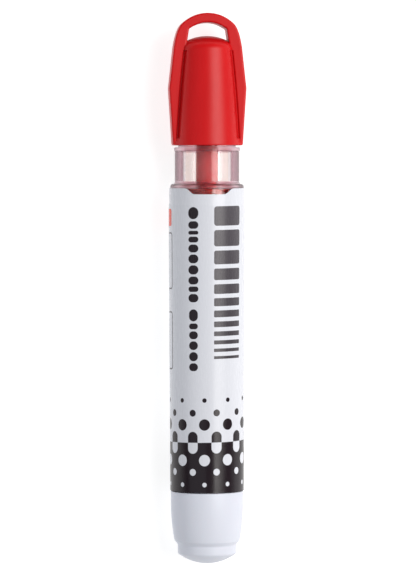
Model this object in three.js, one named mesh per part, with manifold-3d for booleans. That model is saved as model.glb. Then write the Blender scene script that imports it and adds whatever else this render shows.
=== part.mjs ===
// Whiteboard marker with a pull-off cap, modelled lying on a table: its axis runs along Y, the cap
// points to +Y and the front of its label faces up. Sizes are in millimetres.
// Every piece is drawn around the marker's own axis, with heights counted from the tip of the tail.

import * as THREE from 'three';
import { mergeVertices } from 'three/addons/utils/BufferGeometryUtils.js';
import Module from 'manifold-3d';

const wasm = await Module();
wasm.setup();

// Fineness of the round shapes
const ROUND_STEPS = 24; // flats round the full circle, wide enough for it to lie still on one
const STRAW_STEPS = 12; // flats round the thin vent straw
const CURVE_STEPS = 4; // straight steps along each curved stretch of an outline

// Gaps between pieces that fit one another
const PRESS_GAP = 0.1; // radial room between pressed pieces
const SEAT_GAP = 0.2; // room between two faces that meet end to end
const BEAD_GAP = 0.1; // room between the neck's bead and the cap's bore
const CUT_OVERRUN = 1; // how far a cutting shape runs past what it cuts

// Barrel: a clear tube that narrows to a neck and then to the stub that holds the cap
const BARREL_LENGTH = 74.5; // rear end to the top of the shoulder
const BARREL_RADIUS = 9.08; // at its widest, behind the land
const BARREL_TAPER = 0.36; // how much thinner the rear end is
const BARREL_WALL = 1.12; // at the rear end
const LAND_LENGTH = 5.3; // reduced band behind the shoulder
const LAND_STEP = 0.15;
const SHOULDER_WALL = 1;
const SHOULDER_FILLET = 0.8;
const SHOULDER_LEDGE = 1.2; // inner ledge that stops the reservoir
const NECK_LENGTH = 8.8;
const NECK_FLARE = 0.12; // extra radius at the neck's root and at the stop ring
const NECK_FLARE_LENGTH = 0.8;
const STOP_STEP = 0.86; // neck's face to the stub's face
const STUB_WALL = 0.6;
const STUB_LENGTH = 8.8;
const STUB_CHAMFER = 0.3;
const BEAD_HEIGHT = 0.15; // bead round the stub that grips the cap
const BEAD_WIDTH = 1.2;
const BEAD_DISTANCE = 4.4; // stop ring to the middle of the bead

// Label: a printed film wrapped round the barrel, with a window in its front edge
const LABEL_THICKNESS = 0.2;
const LABEL_GAP = 0.05;
const LABEL_SETBACK = 1.05; // label's front edge to the top of the shoulder
const WINDOW_DEPTH = 1.45;
const WINDOW_EDGE_WIDTH = 11.2;
const WINDOW_FLOOR_WIDTH = 8;

// Tail plug
const PLUG_LENGTH = 17.7; // tip to the barrel's rear end
const PLUG_STUB_LENGTH = 4.7;
const PLUG_CHAMFER_LENGTH = 0.9;
const PLUG_CHAMFER_WIDTH = 0.77;
const PLUG_DOME_RADIUS = 11.5;
const PLUG_EDGE_LENGTH = 0.1; // straight stretch between the dome and the stub
const PLUG_CURVE_LENGTH = 8.3; // rounded stretch from the chamfer to the straight rim
const PLUG_RIM_INSET = 0.13; // rim below the face of the label
const PLUG_WALL = 1.5;
const PLUG_SPIGOT_LENGTH = 7.6;
const PLUG_SPIGOT_WALL = 0.9;

// Ink reservoir: a fibre core in a film wrap, with a vent straw along it
const FILM_THICKNESS = 0.15;
const FILM_GAP = 0.25; // film to the barrel's bore
const CORE_GAP = 0.1; // core to the film
const STRAW_RADIUS = 0.7;
const STRAW_WALL = 0.25;
const STRAW_DEPTH = 1.1; // straw's middle to the core's face
const STRAW_INSET = 1;

// Writing end
const WICK_RADIUS = 2.65;
const WICK_IN_CORE = 7;
const HOLDER_TUBE_ROOM = 1.15; // holder's rear tube to the neck's bore
const HOLDER_TUBE_LENGTH = 11; // stretch that shows in the neck
const HOLDER_FLANGE_HEIGHT = 1.1;
const HOLDER_FLANGE_INSET = 0.1; // flange below the stub's face
const NOSE_LENGTH = 4.3;
const NOSE_ROOT_WALL = 1.95;
const NOSE_TIP_WALL = 0.85;
const NIB_RADIUS = 2.25;
const NIB_REACH = 4.3; // nose tip to the writing point
const NIB_SHANK_LENGTH = 11.2;
const NIB_POINT_RADIUS = 0.9;

// Cap liner: an inner cup that seals on the nose of the nib holder
const LINER_WALL = 1.1;
const LINER_LIP_HEIGHT = 0.8;
const LINER_LIP_DEPTH = 0.3; // lip to the liner's own bore
const LINER_LIP_GAP = 0.1; // lip to the nose's root
const LINER_ROUND = 1.4;

// Cap: a hollow cone with a domed crown, two flat rails along its sides and a loop over the crown.
// Its widths are counted from the outside of its mouth, and its heights from the mouth or the crown.
const CAP_GAP = 0.5; // cap's mouth to the stop ring
const CAP_MOUTH_WALL = 1.21;
const CAP_BODY_LENGTH = 26.5; // mouth to the top of the crown
const CONE_MIDDLE_INSET = 0.46; // guides the slight swell of the cone
const CONE_EDGE_INSET = 1.56; // cone where the crown's rounded edge begins
const CROWN_RADIUS = 11.3; // radius of the dome
const CROWN_EDGE_WIDTH = 1.6; // rounded edge between the cone and the dome
const CROWN_EDGE_HEIGHT = 2.25;
const CROWN_WALL = 1.8;
const CHAMBER_ROUND = 1.6; // rounding under the crown
const RAIL_THICKNESS = 7.2;
const RAIL_ROUND = 0.4;
const RAIL_WIDEST_PROUD = 0.89;
const RAIL_WIDEST_HEIGHT = 13.8; // mouth to the widest point
const RAIL_SWELL_PROUD = 0.29;
const RAIL_SWELL_BELOW_CROWN = 7.4;
const LOOP_RISE = 5.8; // top of the crown to the top of the loop
const LOOP_BAND = 2.4; // band thickness at the top
const LOOP_FOOT_INSET = 0.18;
const LOOP_FOOT_BELOW_CROWN = 2.9;
const LOOP_CORNER_INSET = 0.81;
const LOOP_CORNER_DROP = 4.6; // top of the loop to the corner's guide point
const LOOP_ARC_DROP = 2.875; // top of the loop to the end of the arc over it
const LOOP_ARC_INSET = 1.91;
const EYE_ARC_DROP = 1.255;
const EYE_ARC_INSET = 4.46;
const EYE_CORNER_INSET = 3.84;
const EYE_CORNER_DROP = 2.2; // top of the eye to the foot of its rounded corner
const EYE_FOOT_INSET = 3.31;
const EYE_FOOT_DEPTH = 0.92; // rim of the dome to the foot of the eye, inside the crown

// Heights along the axis, from the tip of the tail
const barrelStart = PLUG_LENGTH + SEAT_GAP;
const shoulderTop = barrelStart + BARREL_LENGTH;
const landStart = shoulderTop - LAND_LENGTH;
const neckTop = shoulderTop + NECK_LENGTH;
const stubTop = neckTop + STUB_LENGTH;
const spigotTop = PLUG_LENGTH + PLUG_SPIGOT_LENGTH;
const reservoirStart = spigotTop + SEAT_GAP;
const reservoirTop = shoulderTop - SHOULDER_WALL - SEAT_GAP;
const holderStart = reservoirTop + SEAT_GAP;
const flangeStart = stubTop + SEAT_GAP;
const flangeTop = flangeStart + HOLDER_FLANGE_HEIGHT;
const noseTop = flangeTop + NOSE_LENGTH;
const nibStart = noseTop - NIB_SHANK_LENGTH;
const nibTip = noseTop + NIB_REACH;
const capMouth = neckTop + CAP_GAP;
const crownTop = capMouth + CAP_BODY_LENGTH;
const capTop = crownTop + LOOP_RISE;
const chamberStart = flangeTop + SEAT_GAP;
const chamberTop = crownTop - CROWN_WALL;
const linerStart = chamberStart + SEAT_GAP;
const linerTop = chamberTop - SEAT_GAP;

// Radii, each worked out from what the piece fits in or round
const tailRadius = BARREL_RADIUS - BARREL_TAPER;
const landRadius = BARREL_RADIUS - LAND_STEP;
const boreRadius = tailRadius - BARREL_WALL;
const neckBoreRadius = boreRadius - SHOULDER_LEDGE;
const stubRadius = neckBoreRadius + STUB_WALL;
const neckRadius = stubRadius + STOP_STEP;
const beadRadius = stubRadius + BEAD_HEIGHT;
const labelGrowth = LABEL_GAP + LABEL_THICKNESS;
const filmRadius = boreRadius - FILM_GAP;
const coreRadius = filmRadius - FILM_THICKNESS - CORE_GAP;
const wickBoreRadius = WICK_RADIUS + PRESS_GAP;
const nibBoreRadius = NIB_RADIUS + PRESS_GAP;
const noseRootRadius = nibBoreRadius + NOSE_ROOT_WALL;
const lipRadius = noseRootRadius + LINER_LIP_GAP;
const linerBoreRadius = lipRadius + LINER_LIP_DEPTH;
const linerRadius = linerBoreRadius + LINER_WALL;
const chamberRadius = linerRadius + PRESS_GAP;
const capBoreRadius = beadRadius + BEAD_GAP;
const mouthRadius = capBoreRadius + CAP_MOUTH_WALL;
const coneEdgeRadius = mouthRadius - CONE_EDGE_INSET;
const domeReach = coneEdgeRadius - CROWN_EDGE_WIDTH;
const domeCentre = crownTop - CROWN_RADIUS;
const domeRim = domeCentre + Math.sqrt(CROWN_RADIUS ** 2 - domeReach ** 2);
const axisHeight = BARREL_RADIUS + labelGrowth;

// Turns an outline round the axis. The flats lie on the true circle, one straight up and one down.
function revolve(outline, steps = ROUND_STEPS) {
  const overFlats = 1 / Math.cos(Math.PI / steps);
  const turned = new THREE.LatheGeometry(outline.getPoints(CURVE_STEPS), steps, Math.PI / steps);
  return turned.scale(overFlats, 1, overFlats);
}

// Outline of a ring or tube: the radii and heights of its corners, outside first, closed on itself.
function closedOutline(corners) {
  const outline = new THREE.Path();
  outline.moveTo(...corners[0]);
  for (const corner of corners.slice(1)) {
    outline.lineTo(...corner);
  }
  outline.lineTo(...corners[0]);
  return outline;
}

function toSolid(geometry) {
  const bare = geometry.clone();
  bare.deleteAttribute('normal');
  bare.deleteAttribute('uv');
  const merged = mergeVertices(bare, 1e-4);
  const triangles = [];
  const index = merged.index.array;
  for (let i = 0; i < index.length; i += 3) {
    const [a, b, c] = [index[i], index[i + 1], index[i + 2]];
    if (a !== b && b !== c && c !== a) {
      triangles.push(a, b, c);
    }
  }
  return new wasm.Manifold(new wasm.Mesh({
    numProp: 3,
    vertProperties: new Float32Array(merged.attributes.position.array),
    triVerts: new Uint32Array(triangles),
  }));
}

function toGeometry(solid) {
  const mesh = solid.getMesh();
  const geometry = new THREE.BufferGeometry();
  geometry.setAttribute('position', new THREE.BufferAttribute(mesh.vertProperties, 3));
  geometry.setIndex(new THREE.BufferAttribute(mesh.triVerts, 1));
  geometry.computeVertexNormals();
  return geometry;
}

function makeBarrel() {
  const beadMiddle = neckTop + BEAD_DISTANCE;
  const beadEnd = beadMiddle + BEAD_WIDTH / 2;
  const innerShoulder = shoulderTop - SHOULDER_WALL;
  const outline = new THREE.Path();
  outline.moveTo(tailRadius, barrelStart);
  outline.lineTo(BARREL_RADIUS, landStart);
  outline.lineTo(landRadius, landStart);
  outline.lineTo(landRadius, shoulderTop - SHOULDER_FILLET);
  outline.quadraticCurveTo(landRadius, shoulderTop, landRadius - SHOULDER_FILLET, shoulderTop);
  outline.lineTo(neckRadius + NECK_FLARE, shoulderTop);
  outline.lineTo(neckRadius, shoulderTop + NECK_FLARE_LENGTH);
  outline.lineTo(neckRadius, neckTop - NECK_FLARE_LENGTH);
  outline.lineTo(neckRadius + NECK_FLARE, neckTop - NECK_FLARE_LENGTH);
  outline.lineTo(neckRadius + NECK_FLARE, neckTop);
  outline.lineTo(stubRadius, neckTop);
  outline.lineTo(stubRadius, beadMiddle - BEAD_WIDTH / 2);
  outline.quadraticCurveTo(stubRadius + 2 * BEAD_HEIGHT, beadMiddle, stubRadius, beadEnd);
  outline.lineTo(stubRadius, stubTop - STUB_CHAMFER);
  outline.lineTo(stubRadius - STUB_CHAMFER, stubTop);
  outline.lineTo(neckBoreRadius, stubTop);
  outline.lineTo(neckBoreRadius, innerShoulder);
  outline.lineTo(boreRadius, innerShoulder);
  outline.lineTo(boreRadius, barrelStart);
  outline.lineTo(tailRadius, barrelStart);
  return revolve(outline);
}

function makeLabel() {
  const labelTop = shoulderTop - LABEL_SETBACK;
  const stepHeight = landStart + LABEL_GAP;
  const sleeve = revolve(closedOutline([
    [tailRadius + labelGrowth, barrelStart],
    [BARREL_RADIUS + labelGrowth, stepHeight],
    [landRadius + labelGrowth, stepHeight],
    [landRadius + labelGrowth, labelTop],
    [landRadius + LABEL_GAP, labelTop],
    [landRadius + LABEL_GAP, stepHeight],
    [BARREL_RADIUS + LABEL_GAP, stepHeight],
    [tailRadius + LABEL_GAP, barrelStart],
  ]));
  const window = new THREE.Shape();
  window.moveTo(-WINDOW_FLOOR_WIDTH / 2, labelTop - WINDOW_DEPTH);
  window.lineTo(WINDOW_FLOOR_WIDTH / 2, labelTop - WINDOW_DEPTH);
  window.lineTo(WINDOW_EDGE_WIDTH / 2, labelTop);
  window.lineTo(WINDOW_EDGE_WIDTH / 2, labelTop + CUT_OVERRUN);
  window.lineTo(-WINDOW_EDGE_WIDTH / 2, labelTop + CUT_OVERRUN);
  window.lineTo(-WINDOW_EDGE_WIDTH / 2, labelTop);
  const cutter = new THREE.ExtrudeGeometry(window, {
    depth: BARREL_RADIUS + CUT_OVERRUN,
    bevelEnabled: false,
  });
  return toGeometry(toSolid(sleeve).subtract(toSolid(cutter)));
}

// The plug's bare end is as wide as the neck's bead, so that the cap also fits on it.
function makeTailPlug() {
  const domeDrop = PLUG_DOME_RADIUS - Math.sqrt(PLUG_DOME_RADIUS ** 2 - beadRadius ** 2);
  const domeEnd = Math.asin(beadRadius / PLUG_DOME_RADIUS) - Math.PI / 2;
  const rimRadius = tailRadius + labelGrowth - PLUG_RIM_INSET;
  const curveStart = PLUG_STUB_LENGTH + PLUG_CHAMFER_LENGTH;
  const curveEnd = curveStart + PLUG_CURVE_LENGTH;
  const spigotRadius = boreRadius - PRESS_GAP;
  const hollowRadius = beadRadius - PLUG_WALL;
  const outline = new THREE.Path();
  outline.absarc(0, PLUG_DOME_RADIUS, PLUG_DOME_RADIUS, -Math.PI / 2, domeEnd, false);
  outline.lineTo(beadRadius, domeDrop + PLUG_EDGE_LENGTH);
  outline.lineTo(beadRadius, PLUG_STUB_LENGTH);
  outline.lineTo(beadRadius + PLUG_CHAMFER_WIDTH, curveStart);
  outline.quadraticCurveTo(rimRadius, curveStart + PLUG_CURVE_LENGTH / 3, rimRadius, curveEnd);
  outline.lineTo(rimRadius, PLUG_LENGTH);
  outline.lineTo(spigotRadius, PLUG_LENGTH);
  outline.lineTo(spigotRadius, spigotTop);
  outline.lineTo(spigotRadius - PLUG_SPIGOT_WALL, spigotTop);
  outline.lineTo(spigotRadius - PLUG_SPIGOT_WALL, PLUG_LENGTH - PLUG_WALL);
  outline.lineTo(hollowRadius, PLUG_STUB_LENGTH);
  outline.lineTo(hollowRadius, domeDrop + PLUG_WALL);
  outline.lineTo(0, domeDrop + PLUG_WALL);
  return revolve(outline);
}

function makeReservoirFilm() {
  return revolve(closedOutline([
    [filmRadius, reservoirStart],
    [filmRadius, reservoirTop],
    [filmRadius - FILM_THICKNESS, reservoirTop],
    [filmRadius - FILM_THICKNESS, reservoirStart],
  ]));
}

function makeReservoirCore() {
  const outline = new THREE.Path();
  outline.moveTo(0, reservoirStart);
  outline.lineTo(coreRadius, reservoirStart);
  outline.lineTo(coreRadius, reservoirTop);
  outline.lineTo(wickBoreRadius, reservoirTop);
  outline.lineTo(wickBoreRadius, reservoirTop - WICK_IN_CORE - SEAT_GAP);
  outline.lineTo(0, reservoirTop - WICK_IN_CORE - SEAT_GAP);
  const grooveOutline = new THREE.Path();
  grooveOutline.moveTo(0, reservoirStart - CUT_OVERRUN);
  grooveOutline.lineTo(STRAW_RADIUS + PRESS_GAP, reservoirStart - CUT_OVERRUN);
  grooveOutline.lineTo(STRAW_RADIUS + PRESS_GAP, reservoirTop + CUT_OVERRUN);
  grooveOutline.lineTo(0, reservoirTop + CUT_OVERRUN);
  const groove = revolve(grooveOutline, STRAW_STEPS).translate(0, 0, STRAW_DEPTH - coreRadius);
  return toGeometry(toSolid(revolve(outline)).subtract(toSolid(groove)));
}

function makeVentStraw() {
  const straw = revolve(closedOutline([
    [STRAW_RADIUS, reservoirStart + STRAW_INSET],
    [STRAW_RADIUS, reservoirTop - STRAW_INSET],
    [STRAW_RADIUS - STRAW_WALL, reservoirTop - STRAW_INSET],
    [STRAW_RADIUS - STRAW_WALL, reservoirStart + STRAW_INSET],
  ]), STRAW_STEPS);
  return straw.translate(0, 0, STRAW_DEPTH - coreRadius);
}

function makeFeedWick() {
  const outline = new THREE.Path();
  outline.moveTo(0, reservoirTop - WICK_IN_CORE);
  outline.lineTo(WICK_RADIUS, reservoirTop - WICK_IN_CORE);
  outline.lineTo(WICK_RADIUS, nibStart - SEAT_GAP);
  outline.lineTo(0, nibStart - SEAT_GAP);
  return revolve(outline);
}

function makeNibHolder() {
  const tubeRadius = neckBoreRadius - HOLDER_TUBE_ROOM;
  const tubeTop = holderStart + HOLDER_TUBE_LENGTH;
  const plugRadius = neckBoreRadius - PRESS_GAP;
  const flangeRadius = stubRadius - HOLDER_FLANGE_INSET;
  return revolve(closedOutline([
    [tubeRadius, holderStart],
    [tubeRadius, tubeTop],
    [plugRadius, tubeTop],
    [plugRadius, flangeStart],
    [flangeRadius, flangeStart],
    [flangeRadius, flangeTop],
    [noseRootRadius, flangeTop],
    [nibBoreRadius + NOSE_TIP_WALL, noseTop],
    [nibBoreRadius, noseTop],
    [nibBoreRadius, nibStart],
    [wickBoreRadius, nibStart],
    [wickBoreRadius, holderStart],
  ]));
}

function makeNib() {
  const outline = new THREE.Path();
  outline.moveTo(0, nibStart);
  outline.lineTo(NIB_RADIUS, nibStart);
  outline.lineTo(NIB_RADIUS, noseTop);
  const pointEdge = nibTip - NIB_POINT_RADIUS / 3;
  outline.quadraticCurveTo(NIB_RADIUS, nibTip - NIB_POINT_RADIUS, NIB_POINT_RADIUS, pointEdge);
  outline.quadraticCurveTo(NIB_POINT_RADIUS / 2, nibTip, 0, nibTip);
  return revolve(outline);
}

// The cap's cone and crown, without its rails.
function makeCapCone() {
  const edgeStart = domeRim - CROWN_EDGE_HEIGHT;
  const middleRadius = mouthRadius - CONE_MIDDLE_INSET;
  const outline = new THREE.Path();
  outline.moveTo(0, capMouth);
  outline.lineTo(mouthRadius, capMouth);
  outline.quadraticCurveTo(middleRadius, (capMouth + edgeStart) / 2, coneEdgeRadius, edgeStart);
  outline.quadraticCurveTo(coneEdgeRadius, domeRim - CROWN_EDGE_HEIGHT / 4, domeReach, domeRim);
  outline.absarc(0, domeCentre, CROWN_RADIUS, Math.acos(domeReach / CROWN_RADIUS), Math.PI / 2, false);
  return revolve(outline);
}

// The hollow inside the cap: the bore that grips the stub and the chamber that holds the liner.
function makeCapHollow() {
  const outline = new THREE.Path();
  outline.moveTo(0, capMouth - CUT_OVERRUN);
  outline.lineTo(capBoreRadius, capMouth - CUT_OVERRUN);
  outline.lineTo(capBoreRadius, chamberStart);
  outline.lineTo(chamberRadius, chamberStart);
  outline.lineTo(chamberRadius, chamberTop - CHAMBER_ROUND);
  outline.quadraticCurveTo(chamberRadius, chamberTop, chamberRadius - CHAMBER_ROUND, chamberTop);
  outline.lineTo(0, chamberTop);
  return revolve(outline);
}

// Radius of an arc that reaches this far to each side of its top and drops this far.
function radiusOfArc(reach, drop) {
  return (reach ** 2 + drop ** 2) / (2 * drop);
}

// One flat moulding: the two side rails and the loop that joins them over the crown.
function makeCapRails() {
  const arcReach = mouthRadius - LOOP_ARC_INSET;
  const arcRadius = radiusOfArc(arcReach, LOOP_ARC_DROP);
  const arcEnd = capTop - LOOP_ARC_DROP;
  const arcAngle = Math.acos(arcReach / arcRadius);
  const widest = [mouthRadius + RAIL_WIDEST_PROUD, capMouth + RAIL_WIDEST_HEIGHT];
  const swell = [mouthRadius + RAIL_SWELL_PROUD, crownTop - RAIL_SWELL_BELOW_CROWN];
  const foot = [mouthRadius - LOOP_FOOT_INSET, crownTop - LOOP_FOOT_BELOW_CROWN];
  const corner = [mouthRadius - LOOP_CORNER_INSET, capTop - LOOP_CORNER_DROP];
  const opposite = ([across, height]) => [-across, height];
  const plate = new THREE.Shape();
  plate.moveTo(-mouthRadius, capMouth);
  plate.lineTo(mouthRadius, capMouth);
  plate.lineTo(...widest);
  plate.quadraticCurveTo(...swell, ...foot);
  plate.quadraticCurveTo(...corner, arcReach, arcEnd);
  plate.absarc(0, capTop - arcRadius, arcRadius, arcAngle, Math.PI - arcAngle, false);
  plate.quadraticCurveTo(...opposite(corner), ...opposite(foot));
  plate.quadraticCurveTo(...opposite(swell), ...opposite(widest));
  plate.holes.push(makeLoopEye());
  const rails = new THREE.ExtrudeGeometry(plate, {
    depth: RAIL_THICKNESS - 2 * RAIL_ROUND,
    curveSegments: 2 * CURVE_STEPS,
    bevelThickness: RAIL_ROUND,
    bevelSize: RAIL_ROUND,
    bevelOffset: -RAIL_ROUND,
    bevelSegments: 2,
  });
  return rails.translate(0, 0, RAIL_ROUND - RAIL_THICKNESS / 2);
}

// The eye of the loop, which reaches down into the crown.
function makeLoopEye() {
  const eyeTop = capTop - LOOP_BAND;
  const arcReach = mouthRadius - EYE_ARC_INSET;
  const arcRadius = radiusOfArc(arcReach, EYE_ARC_DROP);
  const arcEnd = eyeTop - EYE_ARC_DROP;
  const arcAngle = Math.acos(arcReach / arcRadius);
  const cornerReach = mouthRadius - EYE_CORNER_INSET;
  const cornerFoot = eyeTop - EYE_CORNER_DROP;
  const footReach = mouthRadius - EYE_FOOT_INSET;
  const footHeight = domeRim - EYE_FOOT_DEPTH;
  const eye = new THREE.Path();
  eye.moveTo(footReach, footHeight);
  eye.lineTo(cornerReach, cornerFoot);
  eye.quadraticCurveTo(cornerReach, arcEnd, arcReach, arcEnd);
  eye.absarc(0, eyeTop - arcRadius, arcRadius, arcAngle, Math.PI - arcAngle, false);
  eye.quadraticCurveTo(-cornerReach, arcEnd, -cornerReach, cornerFoot);
  eye.lineTo(-footReach, footHeight);
  return eye;
}

function makeCapShell() {
  const outside = toSolid(makeCapCone()).add(toSolid(makeCapRails()));
  return toGeometry(outside.subtract(toSolid(makeCapHollow())));
}

function makeCapLiner() {
  const innerTop = linerTop - LINER_WALL;
  const innerRound = LINER_ROUND / 2;
  const outline = new THREE.Path();
  outline.moveTo(lipRadius, linerStart);
  outline.lineTo(linerRadius, linerStart);
  outline.lineTo(linerRadius, linerTop - LINER_ROUND);
  outline.quadraticCurveTo(linerRadius, linerTop, linerRadius - LINER_ROUND, linerTop);
  outline.lineTo(0, linerTop);
  outline.lineTo(0, innerTop);
  outline.lineTo(linerBoreRadius - innerRound, innerTop);
  outline.quadraticCurveTo(linerBoreRadius, innerTop, linerBoreRadius, innerTop - innerRound);
  outline.lineTo(linerBoreRadius, linerStart + LINER_LIP_HEIGHT);
  outline.lineTo(lipRadius, linerStart);
  return revolve(outline);
}

const marker = new THREE.Group();
marker.position.set(0, -capTop / 2, axisHeight);

function addPiece(name, geometry, finish) {
  const mesh = new THREE.Mesh(geometry, new THREE.MeshStandardMaterial(finish));
  mesh.name = name;
  marker.add(mesh);
}

const capRed = { color: 0xcd2020, roughness: 0.35, metalness: 0 };
const sealWhite = { color: 0xf0ece4, roughness: 0.5, metalness: 0 };
const barrelClear = { color: 0xf2e6e2, roughness: 0.1, metalness: 0, transparent: true, opacity: 0.35 };
const labelWhite = { color: 0xe4e8ee, roughness: 0.4, metalness: 0 };
const holderCream = { color: 0xf5e4da, roughness: 0.4, metalness: 0, transparent: true, opacity: 0.7 };
const inkFibre = { color: 0xb0302f, roughness: 0.9, metalness: 0 };
const filmClear = { color: 0xe8c4bc, roughness: 0.2, metalness: 0, transparent: true, opacity: 0.5 };
const plugWhite = { color: 0xe3e6ec, roughness: 0.4, metalness: 0 };

addPiece('cap_shell', makeCapShell(), capRed);
addPiece('cap_liner', makeCapLiner(), sealWhite);
addPiece('barrel', makeBarrel(), barrelClear);
addPiece('label', makeLabel(), labelWhite);
addPiece('nib_holder', makeNibHolder(), holderCream);
addPiece('nib', makeNib(), inkFibre);
addPiece('feed_wick', makeFeedWick(), inkFibre);
addPiece('reservoir_core', makeReservoirCore(), inkFibre);
addPiece('reservoir_film', makeReservoirFilm(), filmClear);
addPiece('vent_straw', makeVentStraw(), sealWhite);
addPiece('tail_plug', makeTailPlug(), plugWhite);

export default marker;
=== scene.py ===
"""A capped whiteboard marker on a pale table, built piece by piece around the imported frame.

Lengths are in millimetres until a mesh is finished, and heights run along the marker from the
tip of its tail. A finished mesh is in metres, in the frame's own axes: +Y towards the cap and
+Z up through the front of the label.
"""

import logging
import math
from collections.abc import Iterable
from dataclasses import dataclass, field
from enum import Enum
from typing import ClassVar

import bmesh
import bpy
from mathutils import Matrix, Vector


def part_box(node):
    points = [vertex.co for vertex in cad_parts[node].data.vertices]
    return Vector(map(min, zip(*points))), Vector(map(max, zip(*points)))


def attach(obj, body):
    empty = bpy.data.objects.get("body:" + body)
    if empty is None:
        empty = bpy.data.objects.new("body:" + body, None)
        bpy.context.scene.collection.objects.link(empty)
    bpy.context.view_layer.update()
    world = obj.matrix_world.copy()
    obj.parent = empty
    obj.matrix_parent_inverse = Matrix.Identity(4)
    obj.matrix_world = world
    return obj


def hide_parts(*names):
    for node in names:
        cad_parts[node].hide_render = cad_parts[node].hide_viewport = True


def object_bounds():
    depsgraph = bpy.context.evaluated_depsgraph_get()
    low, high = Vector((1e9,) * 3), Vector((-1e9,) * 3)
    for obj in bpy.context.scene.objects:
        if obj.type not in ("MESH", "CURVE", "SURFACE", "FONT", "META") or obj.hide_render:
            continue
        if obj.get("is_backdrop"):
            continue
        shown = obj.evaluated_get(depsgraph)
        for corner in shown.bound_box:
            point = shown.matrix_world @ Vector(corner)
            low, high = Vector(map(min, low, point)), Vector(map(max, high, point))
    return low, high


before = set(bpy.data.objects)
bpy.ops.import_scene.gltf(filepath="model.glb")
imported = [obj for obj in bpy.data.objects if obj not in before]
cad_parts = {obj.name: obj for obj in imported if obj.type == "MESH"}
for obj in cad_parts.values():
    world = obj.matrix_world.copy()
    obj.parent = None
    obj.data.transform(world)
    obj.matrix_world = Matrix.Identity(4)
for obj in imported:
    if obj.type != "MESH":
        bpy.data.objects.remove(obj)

MM = 0.001
ROUND_STEPS = 128
THIN_STEPS = 32
CORNER_STEPS = 4
SHARP_ANGLE = math.radians(38)
RIM_ANGLE = math.radians(60)
MERGE_DISTANCE = 0.002
PRINT_BLUR = 0.05

log = logging.getLogger("marker")

Point = tuple[float, float]


class Body(Enum):
    """The two bodies that a piece can ride on."""

    BARREL = "barrel_body"
    CAP = "cap"


# ---------------- shader maths


class Value:
    """A number that varies over a surface: a shader socket with arithmetic."""

    def __init__(self, shader: "Shader", socket: bpy.types.NodeSocket) -> None:
        """Wraps a socket of one shader."""
        self.shader = shader
        self.socket = socket

    def _math(self, operation: str, *others: "Value | float") -> "Value":
        """Adds one Math node on this value and others."""
        return self.shader.math(operation, self, *others)

    def __add__(self, other: "Value | float") -> "Value":
        """Sum."""
        return self._math("ADD", other)

    __radd__ = __add__

    def __sub__(self, other: "Value | float") -> "Value":
        """Difference."""
        return self._math("SUBTRACT", other)

    def __rsub__(self, other: float) -> "Value":
        """Difference, from a plain number."""
        return self.shader.math("SUBTRACT", other, self)

    def __mul__(self, other: "Value | float") -> "Value":
        """Product."""
        return self._math("MULTIPLY", other)

    __rmul__ = __mul__

    def __truediv__(self, other: "Value | float") -> "Value":
        """Quotient."""
        return self._math("DIVIDE", other)

    def __abs__(self) -> "Value":
        """Size without sign."""
        return self._math("ABSOLUTE")

    def least(self, other: "Value | float") -> "Value":
        """The smaller of two values."""
        return self._math("MINIMUM", other)

    def most(self, other: "Value | float") -> "Value":
        """The larger of two values."""
        return self._math("MAXIMUM", other)

    def wrapped(self, low: float, high: float) -> "Value":
        """This value repeated between two numbers."""
        return self._math("WRAP", high, low)

    def soft_step(self, edge: float, blur: float) -> "Value":
        """Rises from nought to one as this value passes an edge.

        Args:
            edge: Where it is half way.
            blur: Half of the stretch over which it rises.

        Returns:
            The step.
        """
        return self.shader.node(
            "ShaderNodeMapRange",
            {"interpolation_type": "SMOOTHSTEP"},
            {"Value": self, "From Min": edge - blur, "From Max": edge + blur},
        )


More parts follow.
